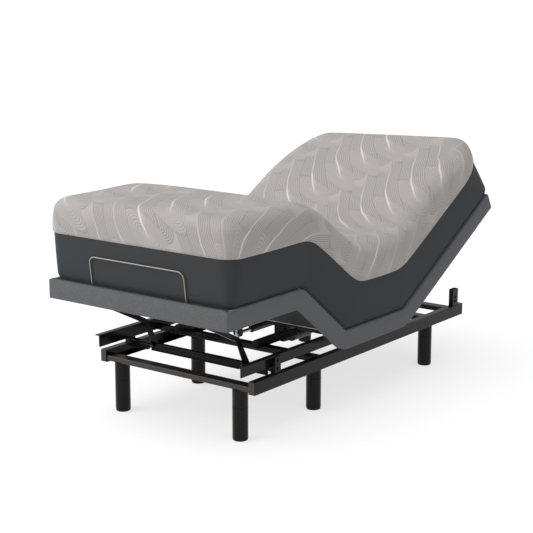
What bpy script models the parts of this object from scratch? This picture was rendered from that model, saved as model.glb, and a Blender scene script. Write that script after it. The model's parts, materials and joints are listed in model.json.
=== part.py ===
"""Adjustable bed base, 36 x 84 in deck, shown with the head and the knees raised.

Frame: origin on the floor under the middle of the bed, +X to the sleeper's left as
seen from the foot end, +Y towards the head end, +Z up. Metres.
"""
from math import cos, pi, radians, sin, tan

import bmesh
import bpy
from mathutils import Matrix, Vector

# ---- driving dimensions ----
GAP = 0.0004                   # between solids that touch
DECK_WIDTH = 0.9144
HEAD_LENGTH = 0.8345
SEAT_LENGTH = 0.4509
THIGH_LENGTH = 0.3808
LEG_LENGTH = 0.4727
HEAD_ANGLE = radians(29.4)     # head section, raised
THIGH_ANGLE = radians(38.0)    # thigh section, raised; the leg section stays level
HEAD_MAX = radians(55.0)

BOARD = 0.018                  # deck board thickness
SKIRT_HEIGHT = 0.078           # upholstered border
SKIRT = 0.022                  # its thickness
HINGE_Z = 0.3432               # hinge axes run along the middle of the boards
HEAD_HINGE_Y = 0.2314
HINGE_ROD_R = 0.007
BOARD_END = 0.0105             # from a hinge axis to the end of a board
CORNER_PLATE = 0.0057          # inner plate that closes a border's corner
CORNER_REACH = 0.030           # how far it runs along the seat section
CORNER_TIE = 0.020             # length of the block that ties it to the border
CONTROL_BOX_X, CONTROL_BOX_Y = (0.160, 0.320), (-0.120, 0.100)
CONTROL_BOX_Z0 = 0.2920

MATTRESS = 0.345
MATTRESS_SIDE = 0.427          # half its width
MATTRESS_INSET = 0.052         # back from the foot end of the deck
MATTRESS_HEAD_INSET = 0.018

RAIL_X = 0.4015                # lower rail, outer face
RAIL_Y0, RAIL_Y1 = -0.7583, 0.8395
RAIL_Z0, RAIL_Z1 = 0.2017, 0.2540
RAIL_FLANGE = 0.030
RAIL_WALL = 0.003

CROSS_Z0, CROSS_Z1 = 0.2085, 0.2305
CROSS_DEPTH = 0.050
CROSS_Y = {"front": -0.7310, "mid": -0.2391, "rear": 0.6076, "end": 0.8120}

LEG_R = 0.0315
LEG_X = {"front": 0.3090, "mid": 0.3110, "rear": 0.3390}
LEG_JOINT_Z = 0.135
LEG_GROOVE = 0.0012            # at the joint line
LEG_CAP = 0.009                # height of the plastic cap on the foot

UPPER_X = 0.3700               # outer face of the upper rail's web
UPPER_Y0, UPPER_Y1 = -0.8034, 0.2950
UPPER_Z0, UPPER_Z1 = 0.2770, 0.3275
UPPER_FLANGE = 0.020
UPPER_WALL = 0.004

RISER_Y = {"front": -0.5990, "rear": 0.1000}
RISER_DEPTH, RISER_WIDTH = 0.038, 0.024

POST_X, POST_Y = (0.3775, 0.3995), (0.7526, 0.7976)
POST_WALL = 0.0025
POST_FLOOR = 0.006 - GAP       # thickness of its closed lower end

INNER_TUBE_Y, INNER_TUBE_Z = (-0.4500, -0.4250), (0.2775, 0.3000)
INNER_RAIL_X, INNER_RAIL_Y = (0.194, 0.218), (-0.4994, -0.2274)
INNER_RAIL_Z1 = 0.3325
SEAT_TUBE_Y = {"front": -0.1550, "rear": 0.1650}
SEAT_TUBE_HALF = 0.0125
SEAT_TUBE_Z0 = 0.3020
HANGER_HALF = 0.026            # the drop from a seat tube that holds an actuator
HANGER_Z = (0.2380, 0.3100)

STRUT_X = 0.240
STRUT_PIVOT_Y, STRUT_PIVOT_Z = -0.6024, 0.2655
STRUT_TUBE_R = 0.010
STRUT_THICK = 0.006
STRUT_PIN_R = 0.005
STRUT_HALF = 0.0100            # half the bar's depth
STRUT_ELBOW = (0.112, 0.053)   # from the pivot, along and across the raised thigh
STRUT_RING = 0.0065            # metal round the eye on the cross tube
STRUT_EYE_R = 0.0075           # eye on the leg section's pin
BRACKET_HALF = 0.022
BRACKET_THICK = 0.004

LEVER_R = 0.085                # hinge axis to the actuator's pin
LEVER_PIN_R = 0.006
LEVER_EYE = 0.012              # radius of a plate round the pin
LEVER_INNER, LEVER_OUTER = 0.013, 0.017    # faces of a plate, from the lever's middle
LEVER_FOOT = 0.100             # length against the board
LEVER_PAD = 0.020              # height of the pad that carries both plates
ACTUATOR_X = 0.080
ACTUATOR_Z = HINGE_Z - 0.0802
ROD_R = 0.008
ROD_EYE_HALF = 0.005           # half the thickness of the slotted eye
ROD_EYE_RIM = 0.006
ROD_SLOT = 0.006               # half the straight part of the slot
GEARBOX_HALF, GEARBOX_LENGTH = 0.030, 0.062
GEARBOX_DROP = 0.026           # its lower face under the rod's axis
TUBE_R = 0.016
MOTOR_R, MOTOR_SHIFT = 0.025, 0.046
MOTOR_START, MOTOR_END = 0.006, 0.130

BAR_R = 0.00275                # mattress retainer bar
BAR_X = 0.240
BAR_HEIGHT = 0.118
BAR_BEND = 0.028
BAR_INSET = 0.0265
BAR_LEAN = 0.14                # how far it leans, for each metre of height

# ---- worked out from them ----
HALF = DECK_WIDTH / 2
BOARD_HALF = HALF - SKIRT - GAP
TOP = BOARD / 2                             # deck top above a hinge axis
SKIRT_BOTTOM = TOP - SKIRT_HEIGHT           # border's lower edge below a hinge axis
THIGH_HINGE_Y = HEAD_HINGE_Y - SEAT_LENGTH
KNEE_Y = THIGH_HINGE_Y - THIGH_LENGTH * cos(THIGH_ANGLE)
KNEE_Z = HINGE_Z + THIGH_LENGTH * sin(THIGH_ANGLE)
HEAD_MITRE = tan(HEAD_ANGLE / 2)
THIGH_MITRE = tan(THIGH_ANGLE / 2)

for item in list(bpy.data.objects):
    bpy.data.objects.remove(item, do_unlink=True)

parts = bpy.data.collections.new("adjustable_bed_base")
cutters = bpy.data.collections.new("cutters")
bpy.context.scene.collection.children.link(parts)
bpy.context.scene.collection.children.link(cutters)


# ---- materials ----
def material(name, colour, rough, metal=0.0):
    made = bpy.data.materials.new(name)
    made.use_nodes = True
    shader = made.node_tree.nodes["Principled BSDF"]
    shader.inputs["Base Color"].default_value = (*colour, 1.0)
    shader.inputs["Roughness"].default_value = rough
    shader.inputs["Metallic"].default_value = metal
    return made


BLACK_STEEL = ((0.012, 0.012, 0.012), 0.35, 0.4)
BROWN_STEEL = ((0.060, 0.050, 0.045), 0.35, 0.5)
ZINC = ((0.45, 0.45, 0.46), 0.35, 0.9)
BOARD_CLOTH = ((0.030, 0.030, 0.032), 0.9)
BORDER_CLOTH = ((0.130, 0.133, 0.140), 0.9)
MATTRESS_CLOTH = ((0.42, 0.40, 0.39), 0.95)
PLASTIC = ((0.015, 0.015, 0.016), 0.5)


# ---- shapes ----
def link(made, parent=None, look=None, collection=parts):
    """Put an object in its collection, under its parent, with its own material."""
    for old in list(made.users_collection):
        old.objects.unlink(made)
    collection.objects.link(made)
    if parent is not None:
        made.parent = parent
    if look is not None:
        made.data.materials.clear()
        made.data.materials.append(material(made.name, *look))
    return made


def empty(name, y, z, angle=0.0, x=0.0):
    """A joint's frame: its origin is on the joint's axis."""
    made = bpy.data.objects.new(name, None)
    made.location = (x, y, z)
    made.rotation_euler = (angle, 0, 0)
    made.empty_display_size = 0.05
    parts.objects.link(made)
    return made


def box(name, x, y, z, look=None, parent=None, bevel=0.0, collection=parts):
    """A box from its (low, high) along each axis."""
    low, high = Vector((x[0], y[0], z[0])), Vector((x[1], y[1], z[1]))
    mesh = bpy.data.meshes.new(name)
    cube = bmesh.new()
    bmesh.ops.create_cube(cube, size=1.0)
    bmesh.ops.scale(cube, vec=high - low, verts=cube.verts)
    bmesh.ops.translate(cube, vec=(low + high) / 2, verts=cube.verts)
    cube.to_mesh(mesh)
    cube.free()
    made = link(bpy.data.objects.new(name, mesh), parent, look, collection)
    if bevel:
        rounding = made.modifiers.new("edges", "BEVEL")
        rounding.width = bevel
        rounding.segments = 2
    return made


# Turns an outline drawn in (a, b) and extruded along c into the world's axes.
ALONG_X = Matrix(((0, 0, 1), (1, 0, 0), (0, 1, 0)))      # outline in Y, Z
ALONG_Y = Matrix(((1, 0, 0), (0, 0, -1), (0, 1, 0)))     # outline in X, Z


def outline(name, loops, low, high, turn=ALONG_X, look=None, parent=None, bevel=0.0,
            collection=parts):
    """A flat outline, with holes, extruded from low to high along the turned axis."""
    curve = bpy.data.curves.new(name, "CURVE")
    curve.dimensions = "2D"
    curve.fill_mode = "BOTH"
    curve.extrude = (high - low) / 2
    for points in loops:
        spline = curve.splines.new("POLY")
        spline.points.add(len(points) - 1)
        for point, (a, b) in zip(spline.points, points):
            point.co = (a, b, 0, 1)
        spline.use_cyclic_u = True
    shape = bpy.data.objects.new(name, curve)
    bpy.context.scene.collection.objects.link(shape)
    graph = bpy.context.evaluated_depsgraph_get()
    mesh = bpy.data.meshes.new_from_object(shape.evaluated_get(graph))
    bpy.data.objects.remove(shape)
    solid = bmesh.new()
    solid.from_mesh(mesh)
    bmesh.ops.remove_doubles(solid, verts=solid.verts, dist=0.00001)
    middle = (low + high) / 2 if turn is ALONG_X else -(low + high) / 2
    bmesh.ops.translate(solid, vec=(0, 0, middle), verts=solid.verts)
    bmesh.ops.transform(solid, matrix=turn.to_4x4(), verts=solid.verts)
    bmesh.ops.recalc_face_normals(solid, faces=solid.faces)
    solid.to_mesh(mesh)
    solid.free()
    mesh.materials.clear()
    made = link(bpy.data.objects.new(name, mesh), parent, look, collection)
    if bevel:
        rounding = made.modifiers.new("edges", "BEVEL")
        rounding.width = bevel
        rounding.segments = 2
        rounding.limit_method = "ANGLE"
    return made


def cylinder(name, radius, low, high, axis, centre, look=None, parent=None, sides=32,
             collection=parts):
    """A cylinder from low to high along axis; centre is its place on the other two."""
    mesh = bpy.data.meshes.new(name)
    rod = bmesh.new()
    bmesh.ops.create_cone(rod, cap_ends=True, segments=sides, radius1=radius,
                          radius2=radius, depth=high - low)
    middle = (low + high) / 2
    if axis == "X":
        place = Matrix.Translation((middle, *centre)) @ Matrix.Rotation(pi / 2, 4, "Y")
    elif axis == "Y":
        place = Matrix.Translation((centre[0], middle, centre[1])) @ Matrix.Rotation(pi / 2, 4, "X")
    else:
        place = Matrix.Translation((*centre, middle))
    bmesh.ops.transform(rod, matrix=place, verts=rod.verts)
    rod.to_mesh(mesh)
    rod.free()
    made = link(bpy.data.objects.new(name, mesh), parent, look, collection)
    made.data.shade_smooth()
    made.data.set_sharp_from_angle(angle=radians(40))
    return made


def boolean(made, tool, operation):
    """Cut or join with another object, which becomes a hidden guide."""
    for old in list(tool.users_collection):
        old.objects.unlink(tool)
    cutters.objects.link(tool)
    tool.hide_render = True
    tool.display_type = "WIRE"
    step = made.modifiers.new(operation.lower(), "BOOLEAN")
    step.operation = operation
    step.solver = "EXACT"
    step.object = tool
    return made


def arc(centre, radius, start, end, steps=12):
    """Points on an arc, angles in radians from the outline's first axis."""
    return [(centre[0] + radius * cos(start + (end - start) * i / steps),
             centre[1] + radius * sin(start + (end - start) * i / steps))
            for i in range(steps + 1)]


def mirrored(points, side):
    """The outline on side +1, or its mirror image in the first axis on side -1."""
    return points if side > 0 else [(-a, b) for a, b in reversed(points)]


def span(side, low, high):
    """The (low, high) stretch on side +1 or its mirror image on side -1."""
    return (low, high) if side > 0 else (-high, -low)


SIDES = (("left", -1), ("right", 1))


# ---- joint frames ----
head_frame = empty("head_frame", HEAD_HINGE_Y, HINGE_Z, HEAD_ANGLE)
thigh_frame = empty("thigh_frame", THIGH_HINGE_Y, HINGE_Z, -THIGH_ANGLE)
leg_frame = empty("leg_frame", KNEE_Y, KNEE_Z)


# ---- lower frame ----
def lower_frame():
    for name, side in SIDES:
        inner = RAIL_X - RAIL_FLANGE
        web = RAIL_X - RAIL_WALL
        channel = [(inner, RAIL_Z0), (RAIL_X, RAIL_Z0), (RAIL_X, RAIL_Z1), (inner, RAIL_Z1),
                   (inner, RAIL_Z1 - RAIL_WALL), (web, RAIL_Z1 - RAIL_WALL),
                   (web, RAIL_Z0 + RAIL_WALL), (inner, RAIL_Z0 + RAIL_WALL)]
        outline("lower_rail_" + name, [mirrored(channel, side)], RAIL_Y0, RAIL_Y1, ALONG_Y,
                BLACK_STEEL, bevel=0.0006)
    reach = RAIL_X - RAIL_WALL - GAP
    for name, y in CROSS_Y.items():
        look = BROWN_STEEL if name == "front" else BLACK_STEEL
        box(name + "_cross_rail", (-reach, reach), (y - CROSS_DEPTH / 2, y + CROSS_DEPTH / 2),
            (CROSS_Z0, CROSS_Z1), look, bevel=0.0015)


def legs():
    """Turned tubular legs with a joint line and a plastic-capped foot."""
    top, edge_cut, foot_cut = CROSS_Z0 - GAP, 0.001, 0.003
    groove, waist = LEG_GROOVE, LEG_R - LEG_GROOVE
    profile = [(0, top), (LEG_R - edge_cut, top), (LEG_R, top - edge_cut),
               (LEG_R, LEG_JOINT_Z + groove), (waist, LEG_JOINT_Z + groove / 2),
               (waist, LEG_JOINT_Z - groove / 2), (LEG_R, LEG_JOINT_Z - groove),
               (LEG_R, LEG_CAP + edge_cut), (LEG_R - edge_cut, LEG_CAP),
               (LEG_R - edge_cut, foot_cut), (LEG_R - edge_cut - foot_cut, 0), (0, 0)]
    for row, x in LEG_X.items():
        for name, side in SIDES:
            mesh = bpy.data.meshes.new("leg")
            edge = bmesh.new()
            verts = [edge.verts.new((r, 0, z)) for r, z in profile]
            for first, second in zip(verts, verts[1:]):
                edge.edges.new((first, second))
            edge.to_mesh(mesh)
            edge.free()
            leg = link(bpy.data.objects.new(row + "_leg_" + name, mesh), None, BLACK_STEEL)
            leg.location = (side * x, CROSS_Y[row], 0)
            turn = leg.modifiers.new("turn", "SCREW")
            turn.steps = 32
            turn.render_steps = 32
            turn.use_merge_vertices = True
            turn.merge_threshold = 0.00001
            turn.use_smooth_shade = True


def risers():
    low, high = RAIL_Z1 + GAP, UPPER_Z1 - UPPER_WALL - GAP
    for row, y in RISER_Y.items():
        for name, side in SIDES:
            box(row + "_riser_" + name,
                span(side, UPPER_X + GAP, UPPER_X + GAP + RISER_WIDTH),
                (y - RISER_DEPTH / 2, y + RISER_DEPTH / 2), (low, high), BLACK_STEEL,
                bevel=0.001)


def head_posts():
    """Open-topped posts that the head section comes down on."""
    low, high = RAIL_Z1 + GAP, HINGE_Z - TOP - 3 * GAP
    for name, side in SIDES:
        post = box("head_post_" + name, span(side, *POST_X), POST_Y, (low, high), BLACK_STEEL)
        hollow = box("head_post_hollow_" + name,
                     span(side, POST_X[0] + POST_WALL, POST_X[1] - POST_WALL),
                     (POST_Y[0] + POST_WALL, POST_Y[1] - POST_WALL),
                     (low + POST_FLOOR, high + POST_FLOOR), collection=cutters)
        boolean(post, hollow, "DIFFERENCE")


# ---- upper frame ----
def upper_frame():
    for name, side in SIDES:
        web = UPPER_X - UPPER_WALL
        lip = UPPER_X + UPPER_FLANGE
        angle = [(web, UPPER_Z0), (UPPER_X, UPPER_Z0), (UPPER_X, UPPER_Z1 - UPPER_WALL),
                 (lip, UPPER_Z1 - UPPER_WALL), (lip, UPPER_Z1), (web, UPPER_Z1)]
        outline("upper_rail_" + name, [mirrored(angle, side)], UPPER_Y0, UPPER_Y1, ALONG_Y,
                BLACK_STEEL, bevel=0.0006)
    reach = UPPER_X - UPPER_WALL - GAP
    cylinder("strut_cross_tube", STRUT_TUBE_R, -UPPER_X, UPPER_X, "X",
             (STRUT_PIVOT_Y, STRUT_PIVOT_Z), BLACK_STEEL)
    box("inner_cross_tube", (-reach, reach), INNER_TUBE_Y, INNER_TUBE_Z, BLACK_STEEL,
        bevel=0.0015)
    for name, side in SIDES:
        box("inner_rail_" + name, span(side, *INNER_RAIL_X), INNER_RAIL_Y,
            (INNER_TUBE_Z[1] + GAP, INNER_RAIL_Z1), BLACK_STEEL, bevel=0.0015)
    for name, x, away in (("front", ACTUATOR_X, -1), ("rear", -ACTUATOR_X, 1)):
        y = SEAT_TUBE_Y[name]
        tube = box("seat_cross_tube_" + name, (-reach, reach),
                   (y - SEAT_TUBE_HALF, y + SEAT_TUBE_HALF),
                   (SEAT_TUBE_Z0, HINGE_Z - TOP - GAP), BLACK_STEEL, bevel=0.0015)
        low, high = sorted((y + away * SEAT_TUBE_HALF, y - away * SEAT_TUBE_HALF / 5))
        drop = box("actuator_hanger_" + name, (x - HANGER_HALF, x + HANGER_HALF), (low, high),
                   HANGER_Z, collection=cutters)
        boolean(tube, drop, "UNION")


# ---- deck sections ----
def corner_plate(mitre_end):
    """Outline of the inner plate that closes the corner under a raised section.

    It is drawn about the hinge axis, for a section that lifts on the +Y side.
    """
    low = -TOP - 0.002
    radius = -SKIRT_BOTTOM
    edge = pi / 2 - mitre_end
    return [(-CORNER_REACH, low), (-low / tan(edge), low),
            *arc((0, 0), radius, -edge, -pi / 2, 8), (-CORNER_REACH, -radius)]


def seat_section():
    low, high = THIGH_HINGE_Y, HEAD_HINGE_Y
    z0, z1 = HINGE_Z + SKIRT_BOTTOM, HINGE_Z + TOP
    head_notch = TOP * tan(HEAD_MAX / 2)
    thigh_notch = TOP * THIGH_MITRE
    side_view = [(low + GAP * 2, z0), (high - GAP * 2, z0), (high - GAP * 2, HINGE_Z),
                 (high - head_notch - GAP * 2, z1), (low + thigh_notch + GAP * 2, z1),
                 (low + GAP * 2, HINGE_Z)]
    head_corner = [(high + a, HINGE_Z + b) for a, b in corner_plate(HEAD_MAX)]
    thigh_corner = [(low - a, HINGE_Z + b) for a, b in reversed(corner_plate(THIGH_ANGLE))]
    box("seat_board", (-BOARD_HALF, BOARD_HALF), (low + BOARD_END, high - BOARD_END),
        (HINGE_Z - TOP, z1), BOARD_CLOTH)
    for name, side in SIDES:
        skirt = outline("seat_border_" + name, [side_view], *span(side, HALF - SKIRT, HALF),
                        look=BORDER_CLOTH)
        face = HALF - SKIRT
        for end, points in (("head", head_corner), ("thigh", thigh_corner)):
            plate = outline(f"corner_{end}_{name}", [points],
                            *span(side, face - CORNER_PLATE, face - GAP), collection=cutters)
            boolean(skirt, plate, "UNION")
            inside = high - CORNER_REACH if end == "head" else low + CORNER_REACH - CORNER_TIE
            tie = box(f"corner_tie_{end}_{name}", span(side, face - CORNER_PLATE, face + 0.004),
                      (inside, inside + CORNER_TIE), (z0 + 0.010, HINGE_Z - TOP - 0.004),
                      collection=cutters)
            boolean(skirt, tie, "UNION")
    cylinder("head_hinge_rod", HINGE_ROD_R, -BOARD_HALF, BOARD_HALF, "X",
             (HEAD_HINGE_Y, HINGE_Z), ZINC, sides=20)
    cylinder("thigh_hinge_rod", HINGE_ROD_R, -BOARD_HALF, BOARD_HALF, "X",
             (THIGH_HINGE_Y, HINGE_Z), ZINC, sides=20)
    box("control_box", CONTROL_BOX_X, CONTROL_BOX_Y, (CONTROL_BOX_Z0, HINGE_Z - TOP - GAP),
        PLASTIC, bevel=0.004)


def lever(name, parent, x, tip, foot):
    """Two plates and a pin that take the actuator's push.

    tip is the pin's place; foot is where the plates start along the board.
    """
    sign = 1 if foot > 0 else -1
    top = -TOP - GAP
    heel = foot + sign * LEVER_FOOT
    lobe = arc(tip, LEVER_EYE, pi / 2 + sign * pi / 4, pi / 2 + sign * (pi / 4 + pi), 10)
    side_view = [(heel, top), (foot, top), *lobe]
    made = outline(name, [side_view], x - LEVER_OUTER, x - LEVER_INNER, look=BLACK_STEEL,
                   parent=parent)
    other = outline(name + "_plate", [side_view], x + LEVER_INNER, x + LEVER_OUTER,
                    parent=parent, collection=cutters)
    boolean(made, other, "UNION")
    low, high = sorted((foot, heel))
    inside = LEVER_OUTER - 0.001
    boolean(made, box(name + "_pad", (x - inside, x + inside), (low + 0.002, high - 0.002),
                      (top - LEVER_PAD, top), parent=parent, collection=cutters), "UNION")
    boolean(made, cylinder(name + "_pin", LEVER_PIN_R, x - inside, x + inside, "X", tip,
                           parent=parent, sides=20, collection=cutters), "UNION")


def head_section():
    notch = TOP * tan(HEAD_MAX / 2)
    body = HEAD_LENGTH - SKIRT - GAP
    side_view = [(GAP * 2, SKIRT_BOTTOM), (body, SKIRT_BOTTOM), (body, TOP),
                 (notch + GAP * 2, TOP), (GAP * 2, 0)]
    box("head_board", (-BOARD_HALF, BOARD_HALF), (BOARD_END, body), (-TOP, TOP), BOARD_CLOTH,
        head_frame)
    for name, side in SIDES:
        outline("head_border_" + name, [side_view], *span(side, HALF - SKIRT, HALF),
                look=BORDER_CLOTH, parent=head_frame)
    box("head_end_border", (-HALF, HALF), (HEAD_LENGTH - SKIRT, HEAD_LENGTH),
        (SKIRT_BOTTOM, TOP), BORDER_CLOTH, head_frame)
    lean = -HEAD_MAX / 2
    lever("head_lever", head_frame, ACTUATOR_X, (LEVER_R * sin(lean), -LEVER_R * cos(lean)),
          0.030)


def thigh_section():
    start = -THIGH_LENGTH
    notch = TOP * THIGH_MITRE
    knee_end = start + SKIRT_BOTTOM * -THIGH_MITRE
    side_view = [(-GAP * 2, 0), (-notch - GAP * 2, TOP), (start + GAP * 2, TOP),
                 (start + GAP * 2, 0), (knee_end + GAP * 2, SKIRT_BOTTOM),
                 (-GAP * 2, SKIRT_BOTTOM)]
    box("thigh_board", (-BOARD_HALF, BOARD_HALF), (start + BOARD_END, -BOARD_END),
        (-TOP, TOP), BOARD_CLOTH, thigh_frame)
    for name, side in SIDES:
        outline("thigh_border_" + name, [side_view[::-1]], *span(side, HALF - SKIRT, HALF),
                look=BORDER_CLOTH, parent=thigh_frame)
    lean = THIGH_ANGLE / 2
    lever("thigh_lever", thigh_frame, -ACTUATOR_X, (LEVER_R * sin(lean), -LEVER_R * cos(lean)),
          -0.030)
    cylinder("knee_hinge_rod", HINGE_ROD_R, -BOARD_HALF, BOARD_HALF, "X", (start, 0), ZINC,
             thigh_frame, sides=20)


def leg_section():
    end = -LEG_LENGTH
    inner_end = end + SKIRT + GAP
    knee_end = SKIRT_BOTTOM * THIGH_MITRE
    side_view = [(inner_end, SKIRT_BOTTOM), (knee_end - GAP * 2, SKIRT_BOTTOM), (-GAP * 2, 0),
                 (-GAP * 2, TOP), (inner_end, TOP)]
    box("leg_board", (-BOARD_HALF, BOARD_HALF), (inner_end, -BOARD_END), (-TOP, TOP),
        BOARD_CLOTH, leg_frame)
    for name, side in SIDES:
        outline("leg_border_" + name, [side_view], *span(side, HALF - SKIRT, HALF),
                look=BORDER_CLOTH, parent=leg_frame)
    box("foot_border", (-HALF, HALF), (end, end + SKIRT), (SKIRT_BOTTOM, TOP), BORDER_CLOTH,
        leg_frame)


# ---- leg struts: they swing parallel to the thigh section ----
STRUT_TIP = (-THIGH_LENGTH * cos(THIGH_ANGLE), THIGH_LENGTH * sin(THIGH_ANGLE))


def struts():
    """Bent flat bars, eyed on the cross tube below and on the leg section's pins above."""
    along = Vector((-cos(THIGH_ANGLE), sin(THIGH_ANGLE)))
    across = Vector((sin(THIGH_ANGLE), cos(THIGH_ANGLE)))
    elbow = along * STRUT_ELBOW[0] + across * STRUT_ELBOW[1]
    tip = Vector(STRUT_TIP)
    to_elbow = elbow.normalized()
    to_tip = (tip - elbow).normalized()
    lower_side = Vector((-to_elbow.y, to_elbow.x))
    upper_side = Vector((-to_tip.y, to_tip.x))
    inner = lower_side + upper_side
    inner *= STRUT_HALF / inner.dot(lower_side)
    low_angle = lower_side.to_3d().angle(Vector((1, 0, 0)))
    low_turn = low_angle if lower_side.y > 0 else -low_angle
    top_angle = upper_side.to_3d().angle(Vector((1, 0, 0)))
    top_turn = top_angle if upper_side.y > 0 else -top_angle
    bar = [*arc((0, 0), STRUT_TUBE_R + STRUT_RING, low_turn, low_turn + pi, 16),
           tuple(elbow - inner),
           *arc(tip, STRUT_HALF * 1.25, top_turn + pi, top_turn + 2 * pi, 14),
           tuple(elbow + inner)]
    eye = arc((0, 0), STRUT_TUBE_R + GAP, 0, 2 * pi * 31 / 32, 31)
    tip_eye = arc(tip, STRUT_EYE_R, 0, 2 * pi * 19 / 20, 19)
    for name, side in SIDES:
        frame = empty("strut_frame_" + name, STRUT_PIVOT_Y, STRUT_PIVOT_Z, x=side * STRUT_X)
        outline("leg_strut_" + name, [bar, eye, tip_eye], -STRUT_THICK / 2, STRUT_THICK / 2,
                look=BLACK_STEEL, parent=frame)
        pin_y = STRUT_PIVOT_Y + tip.x - KNEE_Y
        pin_z = STRUT_PIVOT_Z + tip.y - KNEE_Z
        plate = [(pin_y - BRACKET_HALF, -TOP - GAP),
                 *arc((pin_y, pin_z), STRUT_HALF, pi, 2 * pi, 10),
                 (pin_y + BRACKET_HALF, -TOP - GAP)]
        low = STRUT_X + STRUT_THICK / 2 + 0.001
        bracket = outline("strut_bracket_" + name, [plate],
                          *span(side, low, low + BRACKET_THICK), look=BLACK_STEEL,
                          parent=leg_frame)
        pin = cylinder("strut_pin_" + name, STRUT_PIN_R,
                       *span(side, STRUT_X - STRUT_THICK / 2 - 0.004,
                             low + BRACKET_THICK / 2), "X",
                       (pin_y, pin_z), parent=leg_frame, sides=20, collection=cutters)
        boolean(bracket, pin, "UNION")


# ---- actuators ----
def actuator(name, x, towards, hanger_y, tube_end, rod_tip, rod_back, bore_end):
    """A gearbox with its motor and outer tube, and the rod that slides in the tube.

    towards is +1 or -1, the way along Y that the rod pushes. The rod runs from rod_back to
    its eye at rod_tip; the bore in the tube starts at bore_end.
    """
    z = ACTUATOR_Z
    back = hanger_y + towards * GAP
    front = back + towards * GEARBOX_LENGTH
    low, high = sorted((back, front))
    housing = box(name + "_actuator_housing", (x - GEARBOX_HALF, x + GEARBOX_HALF),
                  (low, high), (z - GEARBOX_DROP, z + GEARBOX_HALF), PLASTIC, bevel=0.004)
    tube_low, tube_high = sorted((front - towards * 0.004, tube_end))
    boolean(housing, cylinder(name + "_tube", TUBE_R, tube_low, tube_high, "Y", (x, z),
                              collection=cutters), "UNION")
    motor_x = x + (MOTOR_SHIFT if x > 0 else -MOTOR_SHIFT)
    motor_low, motor_high = sorted((back + towards * MOTOR_START, back + towards * MOTOR_END))
    boolean(housing, cylinder(name + "_motor", MOTOR_R, motor_low, motor_high, "Y",
                              (motor_x, z + 0.002), collection=cutters), "UNION")
    bore_low, bore_high = sorted((bore_end, tube_end + towards * 0.010))
    boolean(housing, cylinder(name + "_bore", ROD_R + GAP, bore_low, bore_high, "Y", (x, z),
                              collection=cutters), "DIFFERENCE")
    slot_r = LEVER_PIN_R + 0.0025
    slot = [*arc((0, ROD_SLOT), slot_r, 0, pi, 8), *arc((0, -ROD_SLOT), slot_r, pi, 2 * pi, 8)]
    ring = [*arc((0, ROD_SLOT), slot_r + ROD_EYE_RIM, 0, pi, 10),
            *arc((0, -ROD_SLOT), slot_r + ROD_EYE_RIM, pi, 2 * pi, 10)]
    frame = empty(name + "_rod_frame", rod_tip, z, x=x)
    rod = outline(name + "_actuator_rod", [ring, slot], -ROD_EYE_HALF, ROD_EYE_HALF,
                  look=ZINC, parent=frame)
    rod_low, rod_high = sorted((rod_back - rod_tip, -towards * (slot_r + 0.002)))
    boolean(rod, cylinder(name + "_rod", ROD_R, rod_low, rod_high, "Y", (0, 0), parent=frame,
                          sides=24, collection=cutters), "UNION")


def actuators():
    head_tip = HEAD_HINGE_Y + LEVER_R * sin(HEAD_ANGLE - HEAD_MAX / 2)
    thigh_tip = THIGH_HINGE_Y - LEVER_R * sin(THIGH_ANGLE / 2)
    actuator("head", ACTUATOR_X, 1, -0.1525, 0.1540, head_tip, 0.0600, -0.0100)
    actuator("leg", -ACTUATOR_X, -1, 0.1625, -0.1560, thigh_tip, -0.1150, -0.0250)


# ---- mattress retainer bar ----
def retainer_bar():
    """A bent wire staple that stops the mattress sliding off; it leans to the foot end."""
    y = -LEG_LENGTH + BAR_INSET
    low, high = TOP + GAP, TOP + BAR_HEIGHT
    turn_x, turn_z = BAR_X - BAR_BEND, high - BAR_BEND
    route = [(-BAR_X, low), *arc((-turn_x, turn_z), BAR_BEND, pi, pi / 2, 6),
             *arc((turn_x, turn_z), BAR_BEND, pi / 2, 0, 6), (BAR_X, low)]
    curve = bpy.data.curves.new("retainer_bar", "CURVE")
    curve.dimensions = "3D"
    curve.bevel_depth = BAR_R
    curve.bevel_resolution = 3
    curve.use_fill_caps = True
    spline = curve.splines.new("POLY")
    spline.points.add(len(route) - 1)
    for point, (x, z) in zip(spline.points, route):
        point.co = (x, y - BAR_LEAN * (z - low), z, 1)
    link(bpy.data.objects.new("retainer_bar", curve), leg_frame, BROWN_STEEL)


# ---- mattress, one plain pad on each section ----
def mattress():
    low, high = TOP + GAP, TOP + MATTRESS
    wide = (-MATTRESS_SIDE, MATTRESS_SIDE)
    slack = GAP * 1.5
    foot = -LEG_LENGTH + MATTRESS_INSET
    outline("mattress_leg", [[(foot, low), (low * THIGH_MITRE - slack, low),
                              (high * THIGH_MITRE - slack, high), (foot, high)]],
            *wide, look=MATTRESS_CLOTH, parent=leg_frame)
    start = -THIGH_LENGTH
    outline("mattress_thigh", [[(start - low * THIGH_MITRE + slack, low),
                                (-low * THIGH_MITRE - slack, low),
                                (-high * THIGH_MITRE - slack, high),
                                (start - high * THIGH_MITRE + slack, high)]],
            *wide, look=MATTRESS_CLOTH, parent=thigh_frame)
    y0, y1 = THIGH_HINGE_Y, HEAD_HINGE_Y
    outline("mattress_seat", [[(y0 + low * THIGH_MITRE + slack, HINGE_Z + low),
                               (y1 - low * HEAD_MITRE - slack, HINGE_Z + low),
                               (y1 - high * HEAD_MITRE - slack, HINGE_Z + high),
                               (y0 + high * THIGH_MITRE + slack, HINGE_Z + high)]],
            *wide, look=MATTRESS_CLOTH)
    end = HEAD_LENGTH - MATTRESS_HEAD_INSET
    outline("mattress_head", [[(low * HEAD_MITRE + slack, low), (end, low), (end, high),
                               (high * HEAD_MITRE + slack, high)]],
            *wide, look=MATTRESS_CLOTH, parent=head_frame)


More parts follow.
